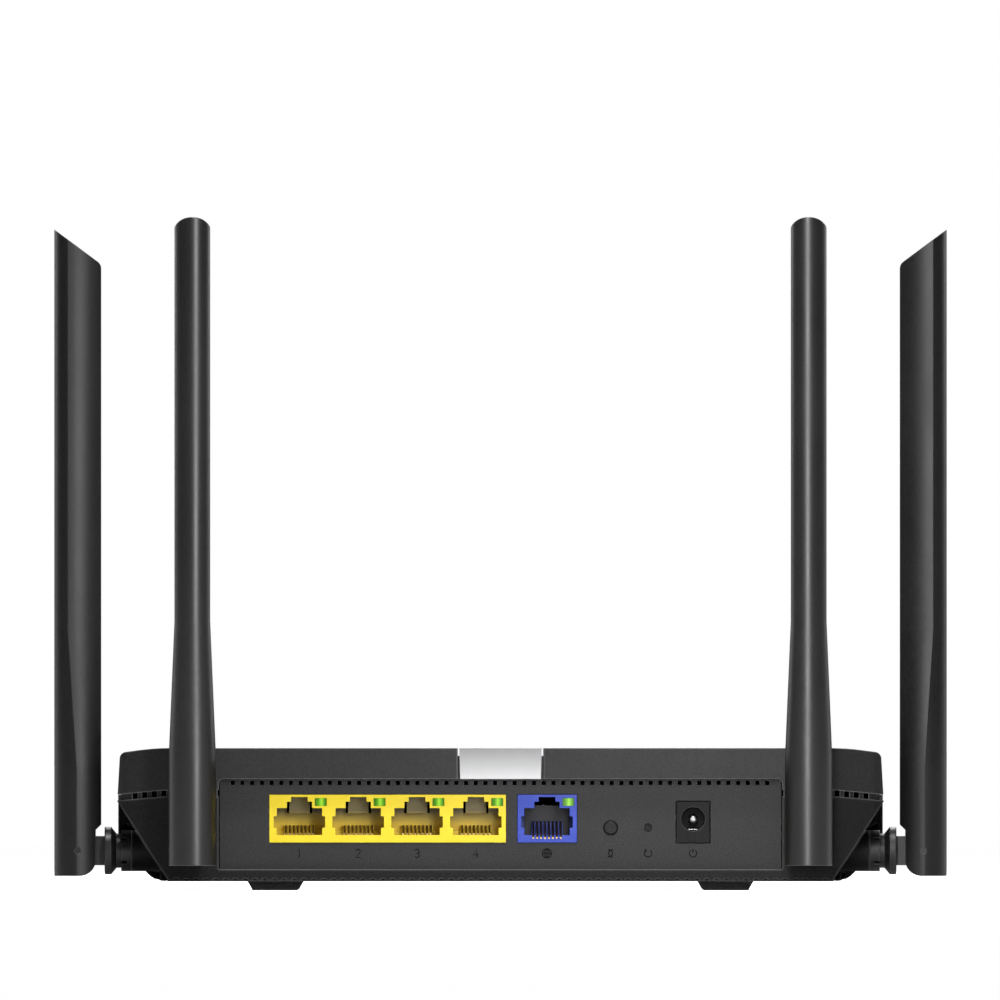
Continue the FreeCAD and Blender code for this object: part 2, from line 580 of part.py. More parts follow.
def band_slots(body, role, first, count, low, high):
    """Row of upright slots along one side of the vent band."""
    slot = rect(f"{first} - band_slot / 2", f"{first} + band_slot / 2", "band_slot_low",
                "band_slot_high")
    cut = pocket(body, role, [slot], low, high)
    axis = "X_Axis" if role == "XZ_Plane" else "Y_Axis"
    line_of(body, cut, axis, f"({count} - 1) * band_pitch", count)


def build_feet():
    body = new_body("feet")
    foot = [("-foot_x - foot_top_half", "bottom_z"), ("-foot_x - foot_low_half", "0", "0.3"),
            ("-foot_x + foot_low_half", "0", "0.3"), ("-foot_x + foot_top_half", "bottom_z"),
            ("-foot_x + foot_peg", "bottom_z"), ("-foot_x + foot_peg", "foot_seat"),
            ("-foot_x - foot_peg", "foot_seat"), ("-foot_x - foot_peg", "bottom_z")]
    start = f"{REAR} + foot_rear"
    first = pad(body, "XZ_Plane", [foot], start, f"{start} + foot_long")
    grid_of(body, first, (("X_Axis", "2 * foot_x", 2), ("Y_Axis", "foot_front - foot_rear", 2)))


def screw_set(label, x, rear, front, head_z, tip_z, head_up):
    """Four equal pan-head screws on a rectangle."""
    body = new_body(label)
    start = f"{REAR} + {rear}"
    cap = f"{head_z} + screw_head_tall"
    if head_up:
        profile = [("0", tip_z), ("screw_shank", tip_z), ("screw_shank", head_z),
                   ("screw_head", head_z), ("screw_head", cap, "0.5"), ("1", cap),
                   ("0", f"{cap} - 0.7")]
    else:
        profile = [("0", f"{head_z} + 0.7"), ("1", head_z), ("screw_head", head_z, "0.5"),
                   ("screw_head", cap), ("screw_shank", cap), ("screw_shank", tip_z), ("0", tip_z)]
    moved = [(f"{p[0]} - ({x})", *p[1:]) for p in profile]
    sketch = new_sketch(body, "XZ_Plane", [moved], start)
    turned = body.newObject("PartDesign::Revolution", label + "_turned")
    turned.Profile = sketch
    axis = sketch.addGeometry(Part.LineSegment(FreeCAD.Vector(-value(x), 0, 0),
                                               FreeCAD.Vector(-value(x), 10, 0)), True)
    fix_point(sketch, axis, 1, f"-({x})", "0")
    fix_point(sketch, axis, 2, f"-({x})", "10")
    turned.ReferenceAxis = (sketch, ["Axis0"])
    turned.Angle = 360
    grid_of(body, turned, (("X_Axis", f"2 * {x}", 2), ("Y_Axis", f"{front} - {rear}", 2)))


def build_board():
    body = box("main_board", ("-board_half", "board_half"),
               (f"{REAR} + board_rear", f"{REAR} + board_rear + board_long"),
               ("board_top - board_thick", "board_top"))
    for x in ("-board_screw_x", "board_screw_x"):
        for y in ("board_screw_rear", "board_screw_front"):
            pocket(body, "XY_Plane", [disc(x, f"{REAR} + {y}", "screw_shank + 0.2")],
                   "board_top - 5", "board_top + 1")


JACK_FACE = "rear_y + panel_in - jack_proud"


def port_shape(x):
    """Modular socket opening about a port centre."""
    right = [("port_half", "port_low"), ("port_half", "port_side_low"), ("port_side", "port_side_low"),
             ("port_side", "port_side_high"), ("port_half", "port_side_high"),
             ("port_half", "port_main_top"), ("port_step_half", "port_main_top"),
             ("port_step_half", "port_step_top"), ("port_latch_half", "port_step_top"),
             ("port_latch_half", "port_latch_top")]
    loop = [(f"{x} + {p[0]}", p[1]) for p in right]
    loop += [(f"{x} - {p[0]}", p[1]) for p in reversed(right)]
    return loop


def jack_shell(label, left, right, ports, count):
    """Jack block with its board feet, socket openings and lamp seats."""
    body = new_body(label)
    pad(body, "XZ_Plane", [rect(left, right, "jack_low", "jack_top")], JACK_FACE,
        f"{JACK_FACE} + jack_deep")
    for inner, outer in ((f"{left} + 1", f"{left} + 3"), (f"{right} - 3", f"{right} - 1")):
        foot = rect(inner, outer, f"{JACK_FACE} + 4", f"{JACK_FACE} + jack_deep - 1")
        pad(body, "XY_Plane", [foot], "board_top", "jack_low + 0.1")
    cut_ports(body, [port_shape(ports)], "-1", "jack_bore", count)
    return body


def repeat_ports(body, feature, count):
    if count > 1:
        line_of(body, feature, "X_Axis", f"port_pitch * {count - 1}", str(count))


def cut_ports(body, loops, low, high, count):
    """Cut the same loops at every port, between two depths behind the face."""
    cut = pocket(body, "XZ_Plane", loops, f"{JACK_FACE} + {low}", f"{JACK_FACE} + {high}")
    repeat_ports(body, cut, count)


def fill_ports(body, loops, low, count):
    """Add the same loops at every port, from one depth back to the solid block."""
    block = pad(body, "XZ_Plane", loops, f"{JACK_FACE} + {low}", f"{JACK_FACE} + jack_bore + 0.5")
    repeat_ports(body, block, count)


def comb_slots(x, low, high):
    """Eight upright slots that guide the contact wires of a port."""
    slots = []
    for wire in range(8):
        middle = f"{x} + ({wire} - 3.5) * wire_pitch"
        slots.append(rect(f"{middle} - comb_slot / 2", f"{middle} + comb_slot / 2", low, high))
    return slots


def build_lan_jack():
    x = "port_first"
    body = jack_shell("lan_jack_block", "lan_left", "lan_right", x, 4)
    lamp = rect(f"{x} + led_in", f"{x} + led_out", "led_low", "led_high")
    cut_ports(body, [lamp], "-1", "jack_bore - 3", 4)
    key = rect(f"{x} - key_half", f"{x} + key_half", "key_low", "port_latch_top + 0.1")
    fill_ports(body, [key], "key_deep", 4)
    ledges = [rect(f"{x} - port_half - 0.1", f"{x} - ledge_in", "port_low - 0.1", "ledge_high"),
              rect(f"{x} - comb_half", f"{x} + comb_half", "port_low - 0.1", "comb_high"),
              rect(f"{x} + ledge_in", f"{x} + port_half + 0.1", "port_low - 0.1", "ledge_high")]
    fill_ports(body, ledges, "comb_deep", 4)
    cut_ports(body, comb_slots(x, "port_low", "comb_high + 0.1"), "comb_deep - 0.1", "jack_bore", 4)
    gaps = [rect(f"{x} - port_step_half", f"{x} - key_half", "key_low", "port_step_top"),
            rect(f"{x} + key_half", f"{x} + port_step_half", "key_low", "port_step_top")]
    cut_ports(body, gaps, "key_deep", "jack_deep + 1", 4)


def build_wan_jack():
    x = "wan_port"
    body = jack_shell("wan_jack_block", "wan_left", "wan_right", x, 1)
    lamp = rect(f"{x} + wan_led_in", f"{x} + wan_led_out", "led_low", "led_high")
    cut_ports(body, [lamp], "-1", "jack_bore - 3", 1)
    latch = [(f"{x} - port_step_half", "wan_latch_low"), (f"{x} + port_step_half", "wan_latch_low"),
             (f"{x} + port_step_half", "port_step_top"), (f"{x} + port_latch_half", "port_step_top"),
             (f"{x} + port_latch_half", "port_latch_top"),
             (f"{x} - port_latch_half", "port_latch_top"),
             (f"{x} - port_latch_half", "port_step_top"), (f"{x} - port_step_half", "port_step_top")]
    cut_ports(body, [latch], "jack_bore - 1", "jack_deep + 1", 1)
    comb = rect(f"{x} - comb_half", f"{x} + comb_half", "port_low - 0.1", "wan_comb_high")
    fill_ports(body, [comb], "comb_deep", 1)
    cut_ports(body, comb_slots(x, "port_low", "wan_comb_high + 0.1"), "comb_deep - 0.1",
              "jack_bore", 1)
    cut_ports(body, comb_slots(x, "wan_slot_low", "port_low + 0.1"), "-1", "wan_slot_deep", 1)
    build_liner(x)


def build_liner(x):
    """Dark plate that closes the back of the single socket around its comb."""
    liner = new_body("wan_jack_liner")
    inset, low = "port_half - liner_fit", "port_low + liner_fit"
    comb, high = "comb_half + liner_fit", "wan_wire_high + 2 * liner_fit"
    right = [(comb, low), (inset, low), (inset, "port_main_top - liner_fit"),
             ("port_step_half - liner_fit", "port_main_top - liner_fit"),
             ("port_step_half - liner_fit", "wan_latch_low")]
    plate = [(f"{x} + {p[0]}", p[1]) for p in right]
    plate += [(f"{x} - ({p[0]})", p[1]) for p in reversed(right)]
    plate += [(f"{x} - ({comb})", high), (f"{x} + {comb}", high)]
    pad(liner, "XZ_Plane", [plate], f"{JACK_FACE} + jack_bore - liner_thick",
        f"{JACK_FACE} + jack_bore")


def build_wires(label, ports, count, low, high, deep):
    """Spring contacts of the sockets, eight to a port."""
    body = new_body(label)
    back = f"{JACK_FACE} + jack_bore"
    front, rise = f"{JACK_FACE} + {deep}", f"{JACK_FACE} + wire_rise"
    wire = [(front, low), (rise, f"{high} - wire_thick"), (back, f"{high} - wire_thick"),
            (back, high), (rise, high), (front, f"{low} + wire_thick")]
    start = f"{ports} - 3.5 * wire_pitch - wire_width / 2"
    first = pad(body, "YZ_Plane", [wire], start, f"{start} + wire_width")
    rows = [("X_Axis", "7 * wire_pitch", 8)]
    if count > 1:
        rows.append(("X_Axis", f"{count - 1} * port_pitch", count))
    grid_of(body, first, rows)


def build_port_lamps():
    body = new_body("port_lamps")
    lamp = rect("port_first + led_in + 0.05", "port_first + led_out - 0.05", "led_low + 0.05",
                "led_high - 0.05")
    ends = (f"{JACK_FACE} - led_proud", f"{JACK_FACE} + jack_bore - 3.2")
    first = pad(body, "XZ_Plane", [lamp], *ends)
    line_of(body, first, "X_Axis", "port_pitch * 3", "4")
    lamp = rect("wan_port + wan_led_in + 0.05", "wan_port + wan_led_out - 0.05", "led_low + 0.05",
                "led_high - 0.05")
    pad(body, "XZ_Plane", [lamp], *ends)


def build_power_jack():
    face = JACK_FACE
    body = new_body("power_jack")
    pad(body, "XZ_Plane", [rect("power_x - power_half", "power_x + power_half", "power_low",
                                "power_top")], face, f"{face} + power_deep")
    round_front(body, face, "power_edge")
    pocket(body, "XZ_Plane", [disc("power_x", "power_z", "power_bore")], f"{face} - 1",
           f"{face} + power_bore_deep")
    pin = new_body("power_jack_pin")
    pad(pin, "XZ_Plane", [disc("power_x", "power_z", "power_pin")], f"{face} + power_pin_tip",
        f"{face} + power_bore_deep")
    round_front(pin, f"{face} + power_pin_tip", "power_pin_round")
    spring = new_body("power_jack_spring")
    upper = [(f"{face} + leaf_start", "power_z - leaf_low"),
             (f"{face} + leaf_peak", "power_z - leaf_high"),
             (f"{face} + leaf_end", "power_z - leaf_low"),
             (f"{face} + power_bore_deep", "power_z - leaf_low")]
    lower = [(y, f"{z} - leaf_thick") for y, z in reversed(upper)]
    pad(spring, "YZ_Plane", [upper + lower], "power_x - leaf_half", "power_x + leaf_half")


def round_front(body, level, radius):
    """Round the edges that lie wholly at one Y level."""
    doc.recompute()
    base, y = body.Tip, value(level)
    names = []
    for number, edge in enumerate(base.Shape.Edges, start=1):
        bounds = edge.BoundBox
        if abs(bounds.YMin - y) < 1e-4 and abs(bounds.YMax - y) < 1e-4:
            names.append(f"Edge{number}")
    rounding = body.newObject("PartDesign::Fillet", body.Label + "_rounding")
    rounding.Base = (base, names)
    rounding.setExpression("Radius", bound(radius))
    body.Tip = rounding


def build_buttons():
    face = f"{REAR} + panel_in"
    back = f"{face} + panel_thick"
    button = new_body("wps_button")
    pad(button, "XZ_Plane", [disc("button_x", "button_z", "button_r")], f"{face} - button_proud",
        f"{back} + button_back")
    pad(button, "XZ_Plane", [disc("button_x", "button_z", "button_flange")],
        f"{back} + button_gap", f"{back} + button_back")
    round_front(button, f"{face} - button_proud", "button_round")
    reset = new_body("reset_plunger")
    pad(reset, "XZ_Plane", [disc("reset_x", "reset_z", "reset_r")], f"{face} + reset_sunk",
        f"{back} + button_back")
    pad(reset, "XZ_Plane", [disc("reset_x", "reset_z", "reset_flange")],
        f"{back} + button_gap", f"{back} + button_back")
    build_switch("wps_switch", "button_x", "button_z", back)
    build_switch("reset_switch", "reset_x", "reset_z", back)


def build_switch(label, x, z, back):
    """Push switch behind a button, standing on the main board."""
    switch = new_body(label)
    start, end = f"{back} + switch_in", f"{back} + switch_in + switch_thick"
    pad(switch, "XZ_Plane", [rect(f"{x} - switch_half", f"{x} + switch_half",
                                  f"{z} - switch_half", f"{z} + switch_half")], start, end)
    pad(switch, "XZ_Plane", [rect(f"{x} - switch_foot", f"{x} + switch_foot", "board_top",
                                  f"{z} - switch_half + 0.1")], f"{start} + 0.5", f"{end} - 0.4")


def board_part(label, x, y, size_x, size_y, tall, base="board_top"):
    """Rectangular part on the board, placed by the middle of its footprint."""
    middle = f"{REAR} + board_rear + {y}"
    return box(label, (f"{x} - {size_x} / 2", f"{x} + {size_x} / 2"),
               (f"{middle} - {size_y} / 2", f"{middle} + {size_y} / 2"), (base, f"{base} + {tall}"))


def build_electronics():
    board_part("main_chip", "0", "chip_in", "chip_size", "chip_size", "chip_tall")
    board_part("memory_chip", "memory_x", "memory_in", "memory_size", "memory_long", "flat_tall")
    board_part("switch_chip", "switch_x", "switch_in_board", "switch_size", "switch_size",
               "flat_tall")
    top = "board_top + chip_tall"
    sink = board_part("heat_sink", "0", "chip_in", "2 * sink_half", "2 * sink_half", "sink_tall",
                      top)
    middle = f"{REAR} + board_rear + chip_in"
    gap = rect("-sink_half + sink_fin", "-sink_half + sink_pitch", f"{top} + sink_base",
               f"{top} + sink_tall + 1")
    cut = pocket(sink, "XZ_Plane", [gap], f"{middle} - sink_half - 1", f"{middle} + sink_half + 1")
    line_of(sink, cut, "X_Axis", "8 * sink_pitch + sink_fin", "9")
    magnetics = board_part("line_transformers", "coil_x", "coil_in", "coil_long", "coil_wide",
                           "coil_tall")
    line_of(magnetics, magnetics.Tip, "X_Axis", "2 * coil_pitch", "3")
    caps = new_body("capacitors")
    can = pad(caps, "XY_Plane", [disc("can_x", f"{REAR} + board_rear + can_in", "can_r")],
              "board_top", "board_top + can_tall")
    line_of(caps, can, "X_Axis", "2 * can_pitch", "3")
    build_shields()


def build_shields():
    """Pair of open-bottomed metal lids over the two radios."""
    shields = board_part("radio_shields", "-shield_x", "shield_in", "shield_long", "shield_wide",
                         "shield_tall")
    line_of(shields, shields.Tip, "X_Axis", "2 * shield_x", "2")
    middle = f"{REAR} + board_rear + shield_in"
    room_x, room_y = "shield_long / 2 - shield_skin", "shield_wide / 2 - shield_skin"
    room = rect(f"-shield_x - ({room_x})", f"-shield_x + {room_x}", f"{middle} - ({room_y})",
                f"{middle} + {room_y}")
    hollow = pocket(shields, "XY_Plane", [room], "board_top - 1",
                    "board_top + shield_tall - shield_skin")
    line_of(shields, hollow, "X_Axis", "2 * shield_x", "2")


def blade_section(body, level, wide, inner, arc, flank):
    """Antenna cross-section: round outer side, bowed flanks and a narrow inner side."""
    sketch = body.newObject("Sketcher::SketchObject", body.Label + "_section")
    sketch.AttachmentSupport = [(datum(body, "XY_Plane"), "")]
    sketch.MapMode = "FlatFace"
    sketch.setExpression("AttachmentOffset.Base.z", bound(level))
    half, narrow, rise = value(wide), value(inner), value(arc)
    shoulder = FreeCAD.Vector(half, rise - value("blade_out"), 0)
    heel = FreeCAD.Vector(narrow, value("blade_in"), 0)
    far_heel = FreeCAD.Vector(-heel.x, heel.y, 0)
    far_shoulder = FreeCAD.Vector(-shoulder.x, shoulder.y, 0)
    bow_radius = (half * half + rise * rise) / (2 * rise)
    bow = add_arc(sketch, FreeCAD.Vector(0, bow_radius - value("blade_out"), 0), bow_radius,
                  far_shoulder, shoulder)
    right = add_arc(sketch, arc_centre(shoulder, heel, value(flank)), value(flank), shoulder, heel)
    inside = sketch.addGeometry(Part.LineSegment(heel, far_heel))
    left = add_arc(sketch, arc_centre(far_heel, far_shoulder, value(flank)), value(flank),
                   far_heel, far_shoulder)
    joins = ((bow[0], bow[2], right[0], right[1]), (right[0], right[2], inside, 1),
             (inside, 2, left[0], left[1]), (left[0], left[2], bow[0], bow[1]))
    for join in joins:
        sketch.addConstraint(Sketcher.Constraint("Coincident", *join))
    fix_point(sketch, right[0], right[1], wide, f"{arc} - blade_out")
    fix_point(sketch, inside, 1, inner, "blade_in")
    fix_point(sketch, inside, 2, f"-({inner})", "blade_in")
    fix_point(sketch, left[0], left[2], f"-({wide})", f"{arc} - blade_out")
    fix_radius(sketch, bow[0], f"({wide} * {wide} + {arc} * {arc}) / (2 * {arc})")
    fix_radius(sketch, right[0], flank)
    fix_radius(sketch, left[0], flank)
    sketch.Visibility = False
    return sketch


def arc_centre(start, end, radius):
    """Centre of the counter-clockwise arc of a given radius between two points."""
    chord = end - start
    away = math.sqrt(radius * radius - chord.Length ** 2 / 4)
    normal = FreeCAD.Vector(-chord.y, chord.x, 0).normalize()
    return (start + end) * 0.5 + normal * away


def build_antenna_shell(name, where):
    body = new_body(name + "_antenna_shell")
    wide = ("blade_wide", "blade_in_wide", "blade_arc_wide", "blade_flank_wide")
    slim = ("blade_slim", "blade_in_slim", "blade_arc_slim", "blade_flank_slim")
    levels = (("-blade_low", wide), ("taper_low", wide), ("taper_high", slim), ("blade_top", slim))
    sections = [blade_section(body, level, *outline) for level, outline in levels]
    loft = body.newObject("PartDesign::AdditiveLoft", body.Label + "_loft")
    loft.Profile = sections[0]
    loft.Sections = sections[1:]
    loft.Ruled = True
    body.Tip = loft
    far = "blade_wide + 2"
    top = [("-blade_out - 1", "blade_top + 0.7"), ("blade_in", "blade_top - blade_cut", "2.2"),
           ("blade_in", "blade_top - blade_cut - 4"), ("blade_in + 3", "blade_top - blade_cut - 4"),
           ("blade_in + 3", "blade_top + 2"), ("-blade_out - 1", "blade_top + 2")]
    pocket(body, "YZ_Plane", [top], f"-({far})", far)
    heel = [("-1", "-blade_low - 1"), ("-1", "-blade_low"), ("hinge_flat", "-blade_low", "4.2"),
            ("hinge_flat", "hinge_flat_top"), ("blade_in + 0.1", "hinge_blend"),
            ("blade_in + 2", "hinge_blend"), ("blade_in + 2", "-blade_low - 1")]
    pocket(body, "YZ_Plane", [heel], f"-({far})", far)
    slot = [("-slot_wall", "-blade_low - 1"), ("blade_in + 2", "-blade_low - 1"),
            ("blade_in + 2", "slot_top"), ("-slot_wall", "slot_top", "3.2")]
    pocket(body, "YZ_Plane", [slot], "-cheek_in", "cheek_in")
    pocket(body, "XY_Plane", [rect("-bore_half_x", "bore_half_x", "-bore_out", "bore_in")],
           "bore_low", "bore_high")
    pocket(body, "XY_Plane", [disc("0", "0", "cable_hole")], "slot_top - 1", "bore_low + 1")
    pocket(body, "YZ_Plane", [disc("0", "0", "pin_r")], f"-({far})", far)
    place(body, *where)


def build_antenna_inside(name, where):
    strip = new_body(name + "_radiator")
    pad(strip, "XY_Plane", [rect("-2.2", "2.2", "0.9", "1.7")], "16", "132")
    place(strip, *where)
    cable = new_body(name + "_feed_cable")
    pad(cable, "XY_Plane", [disc("0", "0", "cable_r")], "slot_top + 0.6", "40")
    place(cable, *where)
    pin = new_body(name + "_hinge_pin")
    pad(pin, "YZ_Plane", [disc("0", "0", "pin_r")], "-pin_half", "pin_half")
    place(pin, *where)


def build_swivel(name, where):
    body = new_body(name + "_swivel")
    profile = [("flange_at", "0"), ("flange_at", "flange_r", "0.3"),
               ("flange_at + flange_thick", "flange_r"),
               ("flange_at + flange_thick + cone_long", "barrel_r"), ("groove_at", "barrel_r"),
               ("groove_at", "clip_groove_r"), ("groove_at + clip_thick", "clip_groove_r"),
               ("groove_at + clip_thick", "barrel_r"), ("barrel_end", "barrel_r", "0.4"),
               ("barrel_end", "0")]
    revolve(body, "YZ_Plane", profile, "H_Axis")
    neck = rect("0", "flange_at + 0.5", "-tongue_r", "tongue_r")
    pad(body, "YZ_Plane", [neck], "-tongue_half", "tongue_half")
    pad(body, "YZ_Plane", [disc("0", "0", "tongue_r")], "-tongue_half", "tongue_half")
    pocket(body, "YZ_Plane", [disc("0", "0", "pin_r + pin_fit")], "-5", "5")
    pocket(body, "XZ_Plane", [disc("0", "0", "1.3")], "3", "barrel_end + 1")
    place(body, *where)
    clip = new_body(name + "_swivel_clip")
    loops = [disc("0", "0", "clip_r"), disc("0", "0", "clip_groove_r")]
    pad(clip, "XZ_Plane", loops, "groove_at", "groove_at + clip_thick")
    gap = rect("-2.4", "2.4", "0", "clip_r + 1")
    pocket(clip, "XZ_Plane", [gap], "groove_at - 1", "groove_at + clip_thick + 1")
    place(clip, *where)


def build_bushing(name, where):
    body = new_body(name + "_bushing")
    profile = [("collar_at", "barrel_r + sleeve_fit"), ("collar_at", "collar_r"),
               ("collar_at + collar_long", "collar_r"), ("collar_at + collar_long", "sleeve_r"),
               ("sleeve_end", "sleeve_r"), ("sleeve_end", "barrel_r + sleeve_fit")]
    revolve(body, "YZ_Plane", profile, "H_Axis")
    for z in ("2.6", "-3.4"):
        notch = rect("collar_at - 1", "collar_at + collar_long - 0.9", z, f"{z} + 0.8")
        pocket(body, "YZ_Plane", [notch], "-7", "7")
    place(body, *where)


def build_antenna(name, where):
    build_antenna_shell(name, where)
    build_antenna_inside(name, where)
    build_swivel(name, where)
    build_bushing(name, where)


# Corners of the coaxial leads: out from the middle, in from the rear edge, up from the desk.
REAR_LEAD = ((75.0, 21.5, 17.0), (69.0, 27.0, 20.6), (62.0, 36.0, 20.8), (56.0, 46.0, 20.5))
SIDE_LEAD = ((77.5, 22.8, 11.8), (72.0, 26.5, 15.2), (65.5, 31.0, 16.8), (58.0, 38.0, 17.2))
REAR_DROP, SIDE_DROP = 17.5, 16.8


def build_leads():
    """Coaxial leads from each swivel to its socket on the board."""
    leads = doc.addObject("Part::Feature", "coax_leads")
    leads.Label = "coax_leads"
    NODES.append(leads)
    rear, radius = value(REAR), value("cable_r")
    top, across = value("board_top + socket_tall"), value("socket_in")
    out, near = value("rear_hinge_x"), value("barrel_end - rear_hinge_out + 0.4")
    level, socket = value("rear_hinge_z"), value("socket_x + socket_step")
    rear_route = [(out, near, level), (out - 1.2, near + 3.6, level + 0.9), *REAR_LEAD,
                  (socket, across, REAR_DROP), (socket, across, top)]
    out, near = value("side_hinge_x - barrel_end - 0.4"), value("side_hinge_in")
    level, socket = value("side_hinge_z"), value("socket_x")
    side_route = [(out, near, level), (out - 3.0, near + 0.3, level + 0.3), *SIDE_LEAD,
                  (socket, across, SIDE_DROP), (socket, across, top)]
    shapes = []
    for side in (-1, 1):
        for route in (rear_route, side_route):
            shapes.append(lead([(side * x, rear + y, z) for x, y, z in route], radius))
    leads.Shape = Part.makeCompound(shapes)
    leads.Placement = FreeCAD.Placement()


def lead(points, radius):
    """Round cable of straight runs joined by arcs as large as the runs allow."""
    route = [FreeCAD.Vector(*point) for point in points]
    edges, at = [], route[0]
    for before, corner, after in zip(route, route[1:], route[2:]):
        back, ahead = before - corner, after - corner
        trim = 0.45 * min(back.Length, ahead.Length)
        start = corner + back * (trim / back.Length)
        end = corner + ahead * (trim / ahead.Length)
        middle = (start + end) * 0.5
        half = back.getAngle(ahead) / 2
        bend = trim * math.tan(half)
        centre = corner + (middle - corner).normalize() * (trim / math.cos(half))
        crown = centre + (corner - centre).normalize() * bend
        edges.append(Part.LineSegment(at, start).toShape())
        edges.append(Part.Arc(start, crown, end).toShape())
        at = end
    edges.append(Part.LineSegment(at, route[-1]).toShape())
    path = Part.Wire(edges)
    ring = Part.makeCircle(radius, route[0], route[1] - route[0])
    return path.makePipeShell([Part.Wire([ring])], True, False)


def build_sockets():
    body = new_body("coax_sockets")
    spot = disc("-socket_x - socket_step", f"{REAR} + socket_in", "socket_r")
    first = pad(body, "XY_Plane", [spot], "board_top", "board_top + socket_tall")
    grid_of(body, first, (("X_Axis", "socket_step", 2),
                          ("X_Axis", "2 * socket_x + socket_step", 2)))


build_bottom_shell()
build_top_cover()
build_centre_trim()
build_port_panel()
build_vent_band()
build_feet()
screw_set("case_screws", "case_screw_x", "case_screw_rear", "case_screw_front", "case_head_z",
          "post_split + 6.3", False)
screw_set("board_screws", "board_screw_x", "board_screw_rear", "board_screw_front", "board_top",
          "floor_z + 1", True)
build_board()
build_lan_jack()
build_wires("lan_jack_contacts", "port_first", 4, "wire_low", "wire_high", "wire_deep")
build_wan_jack()
build_wires("wan_jack_contacts", "wan_port", 1, "wan_wire_low", "wan_wire_high", "wan_wire_deep")
build_port_lamps()
build_power_jack()
build_buttons()
build_electronics()
build_leads()
build_sockets()

REAR_PIVOT = f"{REAR} - rear_hinge_out"
SIDE_PIVOT = f"{REAR} + side_hinge_in"
build_antenna("rear_left", ("-rear_hinge_x", REAR_PIVOT, "rear_hinge_z", 0.0))
build_antenna("rear_right", ("rear_hinge_x", REAR_PIVOT, "rear_hinge_z", 0.0))
build_antenna("side_left", ("-side_hinge_x", SIDE_PIVOT, "side_hinge_z", -90.0))
build_antenna("side_right", ("side_hinge_x", SIDE_PIVOT, "side_hinge_z", 90.0))

doc.recompute()
failed = [item.Label for item in doc.Objects if {"Invalid", "Error"} & set(item.State)]
if failed:
    raise RuntimeError("did not compute: " + ", ".join(failed))
os.makedirs("parts", exist_ok=True)
for node in NODES:
    if node.Shape.isNull() or not node.Shape.isValid():
        raise RuntimeError(f"{node.Label} has no valid shape")
    node.Shape.exportStep(f"parts/{node.Label}.step")
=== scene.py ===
import json
import math

import bpy
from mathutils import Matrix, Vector


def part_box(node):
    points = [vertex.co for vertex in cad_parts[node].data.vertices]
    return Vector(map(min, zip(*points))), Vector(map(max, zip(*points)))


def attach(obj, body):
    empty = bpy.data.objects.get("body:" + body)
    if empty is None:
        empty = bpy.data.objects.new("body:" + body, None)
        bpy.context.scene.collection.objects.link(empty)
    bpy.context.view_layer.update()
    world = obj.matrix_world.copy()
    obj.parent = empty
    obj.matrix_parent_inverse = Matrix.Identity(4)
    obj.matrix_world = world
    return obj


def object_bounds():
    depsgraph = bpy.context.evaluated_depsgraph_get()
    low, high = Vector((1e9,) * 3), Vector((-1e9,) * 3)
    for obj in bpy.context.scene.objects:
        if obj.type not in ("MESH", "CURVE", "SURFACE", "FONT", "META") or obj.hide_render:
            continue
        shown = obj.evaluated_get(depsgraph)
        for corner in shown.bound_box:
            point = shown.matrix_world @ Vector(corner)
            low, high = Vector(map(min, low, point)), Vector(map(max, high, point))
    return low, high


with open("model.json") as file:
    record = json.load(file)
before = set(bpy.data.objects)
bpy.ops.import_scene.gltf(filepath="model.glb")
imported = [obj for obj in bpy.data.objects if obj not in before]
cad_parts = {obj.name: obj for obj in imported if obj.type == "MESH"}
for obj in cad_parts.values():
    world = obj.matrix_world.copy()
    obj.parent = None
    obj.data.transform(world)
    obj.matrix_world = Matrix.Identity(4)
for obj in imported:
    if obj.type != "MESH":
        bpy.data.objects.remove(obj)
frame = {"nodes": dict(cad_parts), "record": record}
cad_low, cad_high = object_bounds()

MM = 0.001
PORT_PITCH = 15.29 * MM
LAMP_WIDE = 3.0 * MM
COMB_WIDE = 7.56 * MM
WHITE = (1, 1, 1, 1)

NODES = frame["nodes"]
scene = bpy.context.scene


